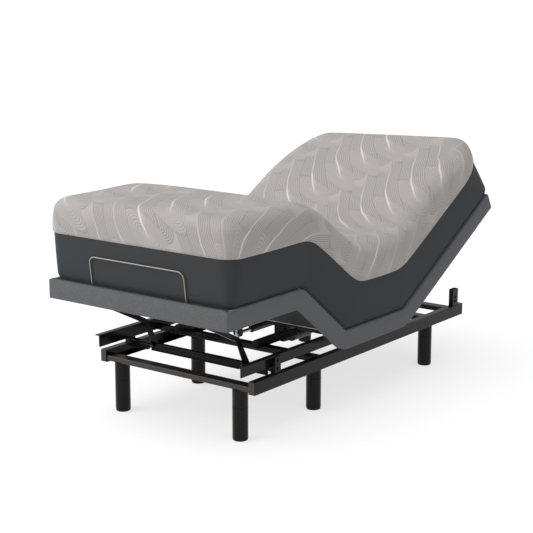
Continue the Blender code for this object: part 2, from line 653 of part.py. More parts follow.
lower_frame()
legs()
risers()
head_posts()
upper_frame()
seat_section()
head_section()
thigh_section()
leg_section()
struts()
actuators()
retainer_bar()
mattress()
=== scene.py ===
"""The looks of the adjustable bed base: knitted mattress, upholstered border, steel frame.

Lengths are metres, in the frame's own axes: +Y to the head end, +Z up.
"""
import json
from math import atan2, cos, hypot, pi, radians, sin

import bmesh
import bpy
import numpy as np
from mathutils import Matrix, Vector


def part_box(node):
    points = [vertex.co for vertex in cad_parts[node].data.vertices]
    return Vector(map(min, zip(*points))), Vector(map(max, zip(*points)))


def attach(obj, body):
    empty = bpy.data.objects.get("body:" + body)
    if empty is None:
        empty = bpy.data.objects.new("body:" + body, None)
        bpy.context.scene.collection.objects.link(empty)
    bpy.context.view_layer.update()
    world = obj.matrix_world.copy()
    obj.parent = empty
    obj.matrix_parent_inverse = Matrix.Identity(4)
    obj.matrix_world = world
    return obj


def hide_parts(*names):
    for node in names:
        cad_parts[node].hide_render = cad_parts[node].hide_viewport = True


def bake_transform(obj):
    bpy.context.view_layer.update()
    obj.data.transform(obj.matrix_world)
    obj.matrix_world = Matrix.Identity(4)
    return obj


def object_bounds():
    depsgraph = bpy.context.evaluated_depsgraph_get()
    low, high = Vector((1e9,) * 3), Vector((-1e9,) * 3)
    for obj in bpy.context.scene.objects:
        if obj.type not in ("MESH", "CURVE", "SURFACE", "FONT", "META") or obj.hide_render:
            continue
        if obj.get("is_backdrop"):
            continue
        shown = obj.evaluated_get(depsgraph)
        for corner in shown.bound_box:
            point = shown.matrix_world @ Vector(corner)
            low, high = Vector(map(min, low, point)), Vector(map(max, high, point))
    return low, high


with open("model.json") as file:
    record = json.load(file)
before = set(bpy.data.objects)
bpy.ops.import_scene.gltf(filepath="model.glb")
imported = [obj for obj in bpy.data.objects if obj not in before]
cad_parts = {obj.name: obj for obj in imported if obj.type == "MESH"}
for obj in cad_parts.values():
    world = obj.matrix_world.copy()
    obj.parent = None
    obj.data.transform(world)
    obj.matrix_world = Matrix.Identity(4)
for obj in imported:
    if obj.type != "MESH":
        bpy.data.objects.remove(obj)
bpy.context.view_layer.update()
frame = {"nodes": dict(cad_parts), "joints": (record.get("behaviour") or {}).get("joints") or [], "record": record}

SIDES = (("left", -1), ("right", 1))

# ---- the deck's line, read from the frame ----
hinge = {joint["name"]: joint["pos_m"] for joint in frame["joints"] if joint["type"] == "hinge"}
HEAD_Y, HINGE_Z = hinge["head_lift"][1:]
THIGH_Y = hinge["thigh_lift"][1]
KNEE_Y, KNEE_Z = hinge["knee_fold"][1:]
FOOT_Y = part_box("foot_border")[0][1]
HEAD_ANGLE = radians(29.4)
THIGH_ANGLE = atan2(KNEE_Z - HINGE_Z, THIGH_Y - KNEE_Y)
LEG_LENGTH = KNEE_Y - FOOT_Y
THIGH_LENGTH = hypot(KNEE_Z - HINGE_Z, THIGH_Y - KNEE_Y)
SEAT_LENGTH = HEAD_Y - THIGH_Y
HEAD_LENGTH = 0.8345           # from the head hinge to the deck's head end
DECK_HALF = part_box("foot_border")[1][0]
DECK_TOP = 0.009               # deck top above the hinge axes
BORDER_LOW = -0.069            # border's lower edge, below them
BORDER_THICK = 0.022

# distances along the deck from its foot end; pieces meet at the middle places
KNEE_S = LEG_LENGTH
THIGH_S = KNEE_S + THIGH_LENGTH
HEAD_S = THIGH_S + SEAT_LENGTH
END_S = HEAD_S + HEAD_LENGTH
MID_THIGH_S = (KNEE_S + THIGH_S) / 2
MID_SEAT_S = (THIGH_S + HEAD_S) / 2 + 0.02
MID_LEG_S = KNEE_S - 0.20
MID_HEAD_S = HEAD_S + 0.26

# where the mattress's upright fibres start to lean, and stop
KNEE_START_S = KNEE_S - 0.15
THIGH_STOP_S = THIGH_S + 0.17
HEAD_START_S = HEAD_S - 0.17
HEAD_STOP_S = HEAD_S + 0.20
KNEE_LEAN, THIGH_LEAN = radians(9), radians(18)
BORDER_REACH = 0.1             # the same for the border, on both sides of each bend

# ---- mattress ----
MATTRESS_FOOT_S = 0.031
MATTRESS_HEAD_S = END_S + 0.012
HEAD_SKEW = 0.030              # the right of the head end lies this much further on
MATTRESS_HALF = 0.448
MATTRESS_TOP = DECK_TOP + 0.328
SEAM = DECK_TOP + 0.190        # dark side below, light cover above
EDGE = 0.050                   # rounding of the top edge
FOOT_CORNERS = ((0.030, 0.030), (0.051, 0.051))   # plan rounding, along and across:
HEAD_CORNERS = ((0.060, 0.050), (0.230, 0.120))   # at the bottom, and at the top
HEAD_TAPER = 0.036             # the head end is this much thinner
CROWN = 0.010
MESH_STEP = 0.0075
SOFT_HEIGHT = 0.345            # over which the bends get softer, from the deck up

# how far the side stands out or pulls in, by height
BELLY = 0.022                  # of the dark side, at the seam
HEM = 0.007                    # pulled in at the deck
COVER_STEP = 0.007             # of the cover over the side, at the seam
DRAW_IN = 0.012                # of the cover, at the top


def smooth(low, high, value):
    """0 below low, 1 above high, and an S-shaped rise between them."""
    share = np.clip((value - low) / (high - low), 0, 1)
    return share * share * (3 - 2 * share)


# ---- the deck's bent shape ----
def lean(s):
    """How far the mattress's upright fibres lean to the head end, in radians."""
    thigh = np.interp(s, (KNEE_START_S, KNEE_S, THIGH_S, THIGH_STOP_S),
                      (0, KNEE_LEAN, THIGH_LEAN, 0))
    head = np.interp(s, (HEAD_START_S, HEAD_S, HEAD_STOP_S), (0, 0.5, 1))
    return thigh - head * HEAD_ANGLE


def fibre_stretch(s):
    """Slanting fibres are longer, which keeps the pad nearly as deep all along."""
    return np.interp(s, (KNEE_START_S, KNEE_S, MID_THIGH_S, THIGH_S, THIGH_STOP_S,
                         HEAD_START_S, HEAD_S, HEAD_STOP_S),
                     (1, 1.03, 1.06, 1.05, 1, 1, 1.034, 1))


def border_stretch(s):
    """Keeps the border equally deep on both sides of every bend."""
    return 1 / np.cos(border_lean(s) - section_tilt(s))


def border_lean(s):
    """Border fibres: half way between the two sections at each bend."""
    thigh = np.interp(s, (KNEE_S - BORDER_REACH, KNEE_S, THIGH_S, THIGH_S + BORDER_REACH),
                      (0, 0.5, 0.5, 0))
    head = np.interp(s, (HEAD_S - BORDER_REACH, HEAD_S, HEAD_S + BORDER_REACH), (0, 0.5, 1))
    return thigh * THIGH_ANGLE - head * HEAD_ANGLE


def section_tilt(s):
    """How far a section's normal leans to the head end, in radians."""
    tilt = np.zeros_like(s)
    tilt[(s > KNEE_S) & (s < THIGH_S)] = THIGH_ANGLE
    tilt[s >= HEAD_S] = -HEAD_ANGLE
    return tilt


def polyline(s):
    """The line through the hinge axes, as y and z."""
    corner_s = [0, KNEE_S, THIGH_S, HEAD_S, END_S]
    end = (HEAD_Y + HEAD_LENGTH * cos(HEAD_ANGLE), HINGE_Z + HEAD_LENGTH * sin(HEAD_ANGLE))
    y = np.interp(s, corner_s, [FOOT_Y, KNEE_Y, THIGH_Y, HEAD_Y, end[0]])
    z = np.interp(s, corner_s, [KNEE_Z, KNEE_Z, HINGE_Z, HINGE_Z, end[1]])
    past = np.maximum(s - END_S, 0)
    before = np.minimum(s, 0)
    return y + past * cos(HEAD_ANGLE) + before, z + past * sin(HEAD_ANGLE)


class BentShape:
    """Maps a place on the flat bed (s along it, t above the hinge line) to the raised one."""

    STEP = 0.004
    LEVELS = 30
    PAST_THE_ENDS = 0.4
    WIDTHS = (0.006, 0.012, 0.024, 0.040, 0.060, 0.090)    # roundings to mix between

    def __init__(self, low, high, softness, lean_at, stretch_at):
        """softness(s, t) is how far, in metres, the corners are rounded there."""
        self.s = np.arange(-self.PAST_THE_ENDS, END_S + self.PAST_THE_ENDS, self.STEP)
        self.t = np.linspace(low, high, self.LEVELS)
        base_y, base_z = polyline(self.s)
        angle, stretch = lean_at(self.s), stretch_at(self.s)
        self.table = np.zeros((2, len(self.t), len(self.s)))
        for row, t in enumerate(self.t):
            wanted = softness(self.s, t)
            for axis, line in ((0, base_y + t * stretch * np.sin(angle)),
                               (1, base_z + t * stretch * np.cos(angle))):
                blurred = [(width, self.blur(line, width)) for width in self.WIDTHS]
                for (low_w, low_line), (high_w, high_line) in zip(blurred, blurred[1:]):
                    share = (wanted - low_w) / (high_w - low_w)
                    mixed = low_line * (1 - share) + high_line * share
                    here = (wanted >= low_w) & (wanted <= high_w)
                    self.table[axis, row][here] = mixed[here]

    def blur(self, line, width):
        """The line with its corners rounded over about the width; straight runs stay put."""
        reach = int(3.5 * width / self.STEP) + 1
        offsets = np.arange(-reach, reach + 1) * self.STEP
        kernel = np.exp(-0.5 * (offsets / width) ** 2)
        straight = np.pad(line, reach, mode="reflect", reflect_type="odd")
        return np.convolve(straight, kernel / kernel.sum(), mode="valid")

    def __call__(self, s, t):
        """Arrays of y and z for arrays of s and t."""
        column = np.clip((s - self.s[0]) / self.STEP, 0, len(self.s) - 1.001)
        row = (t - self.t[0]) / (self.t[1] - self.t[0])
        low_row = np.clip(row.astype(int), 0, len(self.t) - 2)
        low_col = column.astype(int)
        fr, fc = row - low_row, column - low_col
        out = []
        for grid in self.table:
            lower = grid[low_row, low_col] * (1 - fc) + grid[low_row, low_col + 1] * fc
            upper = grid[low_row + 1, low_col] * (1 - fc) + grid[low_row + 1, low_col + 1] * fc
            out.append(lower * (1 - fr) + upper * fr)
        return out


def valley(s):
    """1 where the bed bends upwards, at the seat; 0 at the knee."""
    return smooth(MID_THIGH_S - 0.06, MID_THIGH_S + 0.06, s)


def mattress_softness(s, t):
    """Tight on the deck and wide at the top, widest in the hollow of the seat."""
    up = min(max((t - DECK_TOP) / SOFT_HEIGHT, 0), 1)
    return (0.010 + 0.048 * up) * (1 - valley(s)) + (0.014 + 0.075 * up ** 0.8) * valley(s)


def border_softness(s, t):
    """Only the outer side of each bend is rounded."""
    up = min(max((t - BORDER_LOW) / (DECK_TOP - BORDER_LOW), 0), 1)
    return (0.006 + 0.012 * up) * (1 - valley(s)) + (0.024 - 0.017 * up) * valley(s)


mattress_shape = BentShape(DECK_TOP - 0.01, MATTRESS_TOP + 0.03, mattress_softness, lean,
                           fibre_stretch)
border_shape = BentShape(BORDER_LOW - 0.005, DECK_TOP + 0.01, border_softness, border_lean,
                         border_stretch)


# ---- box meshes on a lattice ----
def lattice_box(s_steps, x_steps, t_steps):
    """The surface of a box as quads; returns lattice places and faces."""
    ns, nx, nt = len(s_steps), len(x_steps), len(t_steps)
    index = {}
    places = []
    faces = []

    def vertex(i, j, k):
        key = (i, j, k)
        if key not in index:
            index[key] = len(places)
            places.append((s_steps[i], x_steps[j], t_steps[k]))
        return index[key]

    for i in range(ns - 1):
        for j in range(nx - 1):
            for k, up in ((0, False), (nt - 1, True)):
                quad = [vertex(i, j, k), vertex(i, j + 1, k), vertex(i + 1, j + 1, k),
                        vertex(i + 1, j, k)]
                faces.append(quad if up else quad[::-1])
        for k in range(nt - 1):
            for j, right in ((0, False), (nx - 1, True)):
                quad = [vertex(i, j, k), vertex(i, j, k + 1), vertex(i + 1, j, k + 1),
                        vertex(i + 1, j, k)]
                faces.append(quad[::-1] if right else quad)
    for j in range(nx - 1):
        for k in range(nt - 1):
            for i, far in ((0, False), (ns - 1, True)):
                quad = [vertex(i, j, k), vertex(i, j + 1, k), vertex(i, j + 1, k + 1),
                        vertex(i, j, k + 1)]
                faces.append(quad[::-1] if far else quad)
    return np.array(places), faces


def mesh_object(name, points, faces, materials, sharp=50):
    """A smooth-shaded object, with edges over the sharp angle, in degrees, kept crisp."""
    mesh = bpy.data.meshes.new(name)
    mesh.from_pydata([tuple(p) for p in points], [], faces)
    for look in materials:
        mesh.materials.append(look)
    mesh.shade_smooth()
    mesh.set_sharp_from_angle(angle=radians(sharp))
    made = bpy.data.objects.new(name, mesh)
    bpy.context.scene.collection.objects.link(made)
    return made


# ---- materials ----
class Nodes:
    """A short way to write a material's nodes."""

    def __init__(self, name):
        self.material = bpy.data.materials.new(name)
        self.material.use_nodes = True
        self.tree = self.material.node_tree
        self.shader = self.tree.nodes["Principled BSDF"]

    def put(self, slot, value):
        """Links a field or a socket into the slot, or sets the slot's own value."""
        if isinstance(value, Field):
            value = value.socket
        if hasattr(value, "is_output"):
            self.tree.links.new(value, slot)
        else:
            slot.default_value = value

    def add(self, kind, inputs=None, **settings):
        node = self.tree.nodes.new(kind)
        for key, value in settings.items():
            setattr(node, key, value)
        for key, value in (inputs or {}).items():
            self.put(node.inputs[key], value)
        return node

    def mix(self, factor, first, second):
        """A colour between two others."""
        node = self.add("ShaderNodeMix", data_type="RGBA")
        for slot, value in ((0, factor), (6, first), (7, second)):
            self.put(node.inputs[slot], value)
        return node.outputs[2]

    def noise(self, scale, detail=2.0, stretch=None):
        """Noise over the object; a stretch under 1 draws it out along that axis."""
        place = self.add("ShaderNodeTexCoord").outputs["Object"]
        if stretch:
            place = self.add("ShaderNodeMapping", {"Vector": place, "Scale": stretch}).outputs[0]
        node = self.add("ShaderNodeTexNoise", {"Vector": place, "Scale": scale, "Detail": detail})
        return Field(self, node.outputs["Fac"])

    def bump(self, height, distance, strength, under=None):
        """A normal from a height field, on top of the one under it."""
        node = self.add("ShaderNodeBump", {"Height": height, "Distance": distance,
                                           "Strength": strength})
        if under is not None:
            self.put(node.inputs["Normal"], under)
        return node.outputs[0]

    def finish(self, **inputs):
        """Sets the shader's sockets by name; words are joined with underscores."""
        for key, value in inputs.items():
            self.put(self.shader.inputs[key.replace("_", " ")], value)
        return self.material


class Field:
    """A number that varies over a material, so that node sums read as plain sums."""

    def __init__(self, nodes, socket):
        self.nodes, self.socket = nodes, socket

    def do(self, operation, *others):
        node = self.nodes.add("ShaderNodeMath", operation=operation)
        for slot, value in enumerate((self, *others)):
            self.nodes.put(node.inputs[slot], value)
        return Field(self.nodes, node.outputs[0])

    def __add__(self, other):
        return self.do("ADD", other)

    def __sub__(self, other):
        return self.do("SUBTRACT", other)

    def __mul__(self, other):
        return self.do("MULTIPLY", other)

    def __truediv__(self, other):
        return self.do("DIVIDE", other)

    def power(self, exponent):
        return self.do("POWER", exponent)

    def rise(self, low, high):
        """0 at low and 1 at high, smoothly; high may be the lower number."""
        node = self.nodes.add("ShaderNodeMapRange", {
            "Value": self, "From Min": low, "From Max": high, "To Min": 0.0,
            "To Max": 1.0}, interpolation_type="SMOOTHSTEP")
        return Field(self.nodes, node.outputs[0])


# ---- the cover's knitted figure, on the unrolled cloth ----
COLUMN = 0.134                 # width of a column of ribbed panels
ROW = 0.460                    # their repeat along the bed
SLANT = 0.58                   # columns drift to the left towards the head
STAGGER = 0.276                # each column starts this share of a row further on
SWAY = 0.11                    # columns wind to and fro by this share of their width
DRIFT = 0.22                   # and wander by this much
RIB = 0.0092                   # from rib to rib
LOBE_WIDE, LOBE_LONG = 0.084, 0.108    # a lobe's half axes
LOBE_SHIFT = 0.30              # from a streak to its lobe, as a share of a row
LOBE_SLANT = 0.35
PANEL_HALF = 0.064
PANEL_RUN = 0.160              # how far a panel runs straight before its end rounds off

YARN_DARK, YARN_PALE = (0.290, 0.271, 0.260, 1), (0.385, 0.365, 0.352, 1)
YARN_MOTTLE = (0.352, 0.334, 0.322, 1)
# painted shade for the rib grooves
PAINTED_GROOVE_SHADE = (0.170, 0.160, 0.155, 1)
# painted shade for the crease along one side of each lobe
PAINTED_LOBE_SHADE = (0.215, 0.212, 0.212, 1)
# the second colour is painted sheen beside a streak's broad foot
SATIN, PAINTED_SHEEN = (0.64, 0.61, 0.58, 1), (0.52, 0.49, 0.465, 1)


def knit_columns(n):
    """Place on the unrolled cover, counted in columns across and in rows along."""
    sheet = n.add("ShaderNodeSeparateXYZ", {
        "Vector": n.add("ShaderNodeAttribute", attribute_name="sheet").outputs["Vector"]})
    u, v = Field(n, sheet.outputs[0]), Field(n, sheet.outputs[1])
    along = v / ROW
    across = (u + v * SLANT) / COLUMN + (n.noise(5.5, 2) - 0.5) * DRIFT
    winding = (along - across * STAGGER) * (2 * pi)
    return across + winding.do("COSINE") * SWAY, along


def satin_streak(d, e, chance):
    """A streak, thin to the head, and the painted sheen that fades out beside its broad foot."""
    belly = e.rise(0.05, -0.12) * e.rise(-0.34, -0.16)
    width = belly * 0.0050 + 0.0016
    inside = (d.do("ABSOLUTE") / width).rise(1.0, 0.25)
    streak = inside * e.rise(0.33, 0.16) * e.rise(-0.36, -0.22) * chance.rise(0.10, 0.35)
    painted_sheen = (d / (belly * 0.020 + 0.002)).rise(1.2, 0.0) * d.rise(-0.002, 0.003) \
        * belly * e.rise(-0.36, -0.2)
    return streak, painted_sheen


def round_lobe(d, phase):
    """Place in a lobe, 0 at its middle and 1 at its edge, and the crease along one side of its edge, where shade
    is painted.
    """
    far = phase + LOBE_SHIFT
    e = (far - far.do("ROUND")) * ROW
    bow = e * LOBE_SLANT + d
    lobe = (bow * bow / LOBE_WIDE ** 2 + e * e / LOBE_LONG ** 2).do("SQRT")
    rim = (lobe - 1.0).do("ABSOLUTE").rise(0.07, 0.0) * bow.rise(-0.02, 0.03) \
        * e.rise(0.05, -0.02)
    return lobe, rim


def ribbed_panel(across, along):
    """Distance from a panel's middle line, and 1 inside the panel."""
    column = across.do("FLOOR") + 0.5
    d = (across - column) * COLUMN
    phase = along - column * STAGGER
    e = phase - phase.do("ROUND")
    beyond = (e * -ROW - PANEL_RUN).do("MAXIMUM", 0.0)
    spread = (d * d + beyond * beyond).do("SQRT")
    return spread, spread.rise(PANEL_HALF + 0.002, PANEL_HALF - 0.002) * e.rise(0.50, 0.38)


def knit_cover():
    """Pale knitted cover: ribbed panels and round lobes between satin streaks."""
    n = Nodes("knit_cover")
    across, along = knit_columns(n)
    column = across.do("ROUND")
    phase = along - column * STAGGER
    cell = phase.do("ROUND")
    number = n.add("ShaderNodeCombineXYZ", {"X": column, "Y": cell}).outputs[0]
    chance = Field(n, n.add("ShaderNodeTexWhiteNoise", {"Vector": number},
                            noise_dimensions="2D").outputs["Value"])
    d = (across - column) * COLUMN
    streak, painted_sheen = satin_streak(d, phase - cell, chance)
    lobe, rim = round_lobe(d, phase)
    spread, in_panel = ribbed_panel(across, along)

    in_lobe = lobe.rise(1.0, 0.92)
    off_lobe = in_lobe * -1.0 + 1.0
    rib_place = in_lobe * (lobe * 0.094) + off_lobe * spread
    ribs = ((rib_place * (2 * pi / RIB)).do("SINE") * 0.5 + 0.5).power(1.6)
    ribs = ribs * ((in_lobe * 0.62 + off_lobe * in_panel) * (chance * 0.3 + 0.7)
                   * (off_lobe + in_lobe * lobe.rise(0.05, 0.35)))

    base = n.mix(n.noise(300, 4), YARN_DARK, YARN_PALE)
    base = n.mix(n.noise(60, 3) * 0.5, base, YARN_MOTTLE)
    # painted shade in the rib grooves
    base = n.mix(ribs * 0.72, base, PAINTED_GROOVE_SHADE)
    # painted shade along one side of each lobe's edge
    base = n.mix(rim * 0.50, base, PAINTED_LOBE_SHADE)
    # painted sheen beside each streak's foot
    base = n.mix(painted_sheen * 0.30, base, PAINTED_SHEEN)
    base = n.mix(streak * 0.62, base, SATIN)
    relief = n.bump((spread / 0.065).power(2.0) * -1.0, 0.0006, 0.3)
    relief = n.bump(ribs * -1.0, 0.0010, 0.6, relief)
    relief = n.bump(rim * -1.0, 0.001, 0.4, relief)
    relief = n.bump(n.noise(1300, 2), 0.0006, 0.5, relief)
    return n.finish(Base_Color=base, Roughness=0.92, Normal=relief, Specular_IOR_Level=0.2,
                    Sheen_Weight=0.10, Sheen_Roughness=0.5)


def side_cloth():
    """Charcoal stretch cloth of the mattress's side."""
    n = Nodes("side_cloth")
    weave = n.noise(900, 2)
    base = n.mix(weave, (0.025, 0.0262, 0.0288, 1), (0.040, 0.042, 0.0458, 1))
    base = n.mix(n.noise(6, 3) * 0.4, base, (0.040, 0.042, 0.045, 1))
    return n.finish(Base_Color=base, Roughness=0.95, Normal=n.bump(weave, 0.0005, 0.5),
                    Specular_IOR_Level=0.15, Sheen_Weight=0.05, Sheen_Roughness=0.5)


def border_cloth():
    """Mid-grey woven upholstery: warp and weft ridges with slubs."""
    n = Nodes("border_cloth")
    place = n.add("ShaderNodeTexCoord").outputs["Object"]
    warp = n.add("ShaderNodeTexWave", {"Vector": place, "Scale": 190.0, "Distortion": 2.5,
                                       "Detail": 2.0, "Detail Scale": 2.0},
                 bands_direction="Z").outputs["Fac"]
    weft = n.noise(520, 3, stretch=(1, 1, 3))
    thread = (Field(n, warp) + weft) * 0.5
    slub = n.noise(210, 3).rise(0.35, 0.65)
    base = n.mix(thread, (0.074, 0.075, 0.081, 1), (0.126, 0.128, 0.136, 1))
    base = n.mix(slub, (0.078, 0.079, 0.085, 1), base)
    base = n.mix(n.noise(11, 3) * 0.3, base, (0.104, 0.105, 0.112, 1))
    return n.finish(Base_Color=base, Roughness=0.9, Normal=n.bump(thread, 0.0007, 0.6),
                    Specular_IOR_Level=0.2, Sheen_Weight=0.08, Sheen_Roughness=0.5)


def powder_coat():
    """Gloss black powder coat: faint orange peel and smudges."""
    n = Nodes("powder_coat")
    smudge = n.noise(14, 4)
    base = n.mix(smudge, (0.0045, 0.0045, 0.0045, 1), (0.0085, 0.0083, 0.0080, 1))
    relief = n.bump(n.noise(420, 2), 0.0003, 0.15)
    return n.finish(Base_Color=base, Roughness=smudge * 0.14 + 0.13, Normal=relief,
                    Specular_IOR_Level=0.14)


def zinc_steel():
    """Bright plated steel with fine drawing marks."""
    n = Nodes("zinc_steel")
    drawn = n.noise(160, 3, stretch=(1, 0.05, 1))
    base = n.mix(drawn, (0.40, 0.40, 0.42, 1), (0.62, 0.62, 0.63, 1))
    return n.finish(Base_Color=base, Roughness=drawn * 0.2 + 0.22, Metallic=1.0,
                    Normal=n.bump(drawn, 0.0002, 0.3))


def moulded_plastic():
    """Black plastic with a fine moulded grain."""
    n = Nodes("moulded_plastic")
    grain = n.noise(700, 2)
    base = n.mix(grain, (0.005, 0.005, 0.0055, 1), (0.011, 0.011, 0.012, 1))
    return n.finish(Base_Color=base, Roughness=0.5, Normal=n.bump(grain, 0.0004, 0.5))


def dust_cloth():
    """Thin non-woven cloth stapled under the boards."""
    n = Nodes("dust_cloth")
    fibres = n.noise(380, 4)
    pressed = n.add("ShaderNodeTexVoronoi", {"Scale": 260.0}).outputs["Distance"]
    base = n.mix(fibres, (0.013, 0.013, 0.014, 1), (0.030, 0.031, 0.033, 1))
    return n.finish(Base_Color=base, Roughness=0.9, Normal=n.bump(pressed, 0.0005, 0.5))


def satin_bronze(name, dark, light):
    """Brushed brown metal, between two colours."""
    n = Nodes(name)
    brushed = n.noise(300, 3, stretch=(0.04, 1, 1))
    base = n.mix(brushed, dark, light)
    return n.finish(Base_Color=base, Roughness=brushed * 0.15 + 0.28, Metallic=0.7,
                    Normal=n.bump(brushed, 0.0002, 0.3))


KNIT = knit_cover()
SIDE_CLOTH = side_cloth()
BORDER_CLOTH = border_cloth()
BLACK = powder_coat()
BRONZE = satin_bronze("satin_bronze", (0.034, 0.029, 0.026, 1), (0.066, 0.057, 0.051, 1))
WIRE = satin_bronze("bronze_wire", (0.22, 0.20, 0.18, 1), (0.36, 0.33, 0.30, 1))
ZINC = zinc_steel()
PLASTIC = moulded_plastic()
DUST_CLOTH = dust_cloth()

SLOT_LOOKS = {"black_steel": BLACK, "bronze_steel": BRONZE, "zinc_steel": ZINC,
              "black_plastic": PLASTIC, "deck_board": DUST_CLOTH, "border_cloth": BORDER_CLOTH,
              "mattress": SIDE_CLOTH}
node_slot = {part["node"]: part["material_slot"] for part in frame["record"]["subparts"]}
for node_name, node in frame["nodes"].items():
    node.data.materials.clear()
    node.data.materials.append(SLOT_LOOKS[node_slot[node_name]])
frame["nodes"]["retainer_bar"].data.materials[0] = WIRE


# ---- the mattress ----
def wall_bulge(t):
    """How far the wall stands out at each height: pulled in below, fullest at the seam."""
    up = np.clip((t - DECK_TOP) / (SEAM - DECK_TOP), 0, 1)
    side = BELLY * up ** 0.8 - HEM * smooth(0.022, 0.0, t - DECK_TOP)
    cover = COVER_STEP * smooth(SEAM - 0.0005, SEAM + 0.006, t)
    return side + cover - DRAW_IN * smooth(SEAM + 0.03, MATTRESS_TOP, t)


def steps(low, high, size):
    """Even steps from low to high, as near to the size as fits."""
    return np.linspace(low, high, max(2, int(round((high - low) / size)) + 1))


def round_off(out, up):
    """Moves the two faces of a square corner onto its rounding."""
    out, up = np.clip(out, 0, None), np.clip(up, 0, None)
    reach = np.hypot(out, up)
    scale = np.where(reach > 1e-9, np.maximum(out, up) / np.maximum(reach, 1e-9), 1)
    return out * scale, up * scale


def mattress_lattice(s_low, s_high):
    """Places and faces of a plain box, finer at the deck and close round the seam."""
    foot, fringe = DECK_TOP + 0.0015, 0.008
    low_part = foot + 0.022
    close = np.array([-0.004, -0.002, -0.0007, 0.0007, 0.002, 0.004, fringe])
    levels = np.concatenate([steps(foot, low_part, 0.0045)[:-1],
                             steps(low_part, SEAM - fringe, 0.0105), SEAM + close,
                             steps(SEAM + fringe, MATTRESS_TOP, MESH_STEP)[1:]])
    return lattice_box(steps(s_low, s_high, MESH_STEP),
                       steps(-MATTRESS_HALF, MATTRESS_HALF, MESH_STEP), levels)


def round_corners(s, x, t, foot_end, head_end):
    """Rounds the plan's corners, tighter at the bottom.

    Returns the place that each point is measured from, its direction outwards from there,
    how far out it lies and how far the wall lies.
    """
    up = np.clip((t - DECK_TOP) / (SEAM - DECK_TOP), 0, 1)
    low_corner, high_corner = HEAD_CORNERS if head_end else FOOT_CORNERS
    size_s, size_x = (low * (1 - up) + high * up for low, high in zip(low_corner, high_corner))
    dx = x - np.clip(x, size_x - MATTRESS_HALF, MATTRESS_HALF - size_x)
    ds = np.zeros_like(s)
    if foot_end:
        ds = np.minimum(s - (MATTRESS_FOOT_S + size_s), 0)
    if head_end:
        ds = np.maximum(s - (MATTRESS_HEAD_S - size_s), 0)
    round_s, round_x = round_off(np.abs(ds) / size_s, np.abs(dx) / size_x)
    share = np.maximum(np.hypot(round_s, round_x), 1e-9)
    out_s = np.sign(ds) * round_s / share * size_s
    out_x = np.sign(dx) * round_x / share * size_x
    wall = np.maximum(np.hypot(out_s, out_x), 1e-9)
    reach = np.where(share > 1e-8, share * wall, 0)
    return s - ds, x - dx, out_s / wall, out_x / wall, reach, wall


def mattress_piece(name, s_low, s_high, foot_end=False, head_end=False):
    """One length of the mattress, closed; only a real end is rounded."""
    places, faces = mattress_lattice(s_low, s_high)
    flat_s, flat_x, flat_t = places.T
    inner_s, inner_x, out_s, out_x, reach, wall = round_corners(flat_s, flat_x, flat_t,
                                                                foot_end, head_end)

    # top edge
    edge = wall - EDGE
    outwards = np.where(reach > 0, reach - edge, 0)
    upwards = flat_t - (MATTRESS_TOP - EDGE)
    new_out, new_up = round_off(outwards, upwards)
    reach = np.where((outwards > 0) & (upwards > 0), edge + new_out, reach)
    t = np.where(upwards > 0, MATTRESS_TOP - EDGE + new_up, flat_t)

    # sides that stand out, a crowned top and a slightly thinner, skewed head end
    at_wall = np.where(reach > 0, smooth(edge, wall, reach), 0)
    front = np.abs(out_s) if foot_end else 0
    reach = reach + at_wall * wall_bulge(t) * (1 - front * 0.10)
    s, x = inner_s + out_s * reach, inner_x + out_x * reach
    spread = np.clip(1 - (x / MATTRESS_HALF) ** 4, 0, 1)
    t = t + CROWN * spread * smooth(MATTRESS_TOP - EDGE, MATTRESS_TOP, t)
    t = t - HEAD_TAPER * smooth(END_S - 0.42, END_S, s) * smooth(SEAM, MATTRESS_TOP, t)
    s = s + HEAD_SKEW * smooth(END_S - 0.5, END_S, s) * x / MATTRESS_HALF

    # the unrolled cover: down the sides it goes on across, down the ends it goes on along
    drop = MATTRESS_TOP - flat_t
    u, v = flat_x + out_x * drop, flat_s + out_s * drop
    y, z = mattress_shape(s, t)
    made = mesh_object(name, np.stack([x, y, z], 1), faces, [SIDE_CLOTH, KNIT])
    level = np.array([min(flat_t[face[0]], flat_t[face[2]]) for face in faces])
    made.data.polygons.foreach_set("material_index", (level > SEAM - 0.001).astype(np.int32))
    sheet = made.data.attributes.new("sheet", "FLOAT_VECTOR", "POINT")
    unrolled = np.stack([u, v - END_S, np.zeros_like(u)], 1)
    sheet.data.foreach_set("vector", unrolled.astype(np.float32).ravel())
    return made


def bend_knee(piece):
    """Bakes the piece's placement into its mesh."""
    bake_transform(piece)


def bend_thigh(piece):
    """Bakes the piece's placement into its mesh."""
    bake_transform(piece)


def bend_head(piece):
    """Bakes the piece's placement into its mesh."""
    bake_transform(piece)


foot_pad = mattress_piece("mattress_foot_length", MATTRESS_FOOT_S, MID_THIGH_S, foot_end=True)
thigh_pad = mattress_piece("mattress_thigh_length", MID_THIGH_S, MID_SEAT_S)
head_pad = mattress_piece("mattress_head_length", MID_SEAT_S, MATTRESS_HEAD_S, head_end=True)
# the knee's top is pressed together when the bed goes flat, so its bend is a long one
bend_knee(foot_pad)
bend_thigh(thigh_pad)
bend_head(head_pad)
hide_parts("mattress_leg")
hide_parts("mattress_thigh")
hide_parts("mattress_seat", "mattress_head")


# ---- the upholstered border ----
BEND_STEP, END_STEP = 0.008, 0.02
PLAN_RADIUS = 0.0065           # of its corners, seen from above


def border_ring(side, outer, corner=0.004, segments=3):
    """Cross-section of a border bar: places (x, t) round a soft-edged rectangle."""
    inner = outer - BORDER_THICK
    points = []
    for cx, ct, start in ((outer - corner, DECK_TOP - corner, 0),
                          (inner + corner, DECK_TOP - corner, pi / 2),
                          (inner + corner, BORDER_LOW + corner, pi),
                          (outer - corner, BORDER_LOW + corner, 3 * pi / 2)):
        for step in range(segments + 1):
            angle = start + pi / 2 * step / segments
            points.append((cx + corner * cos(angle), ct + corner * sin(angle)))
    return [(side * x, t) for x, t in points]


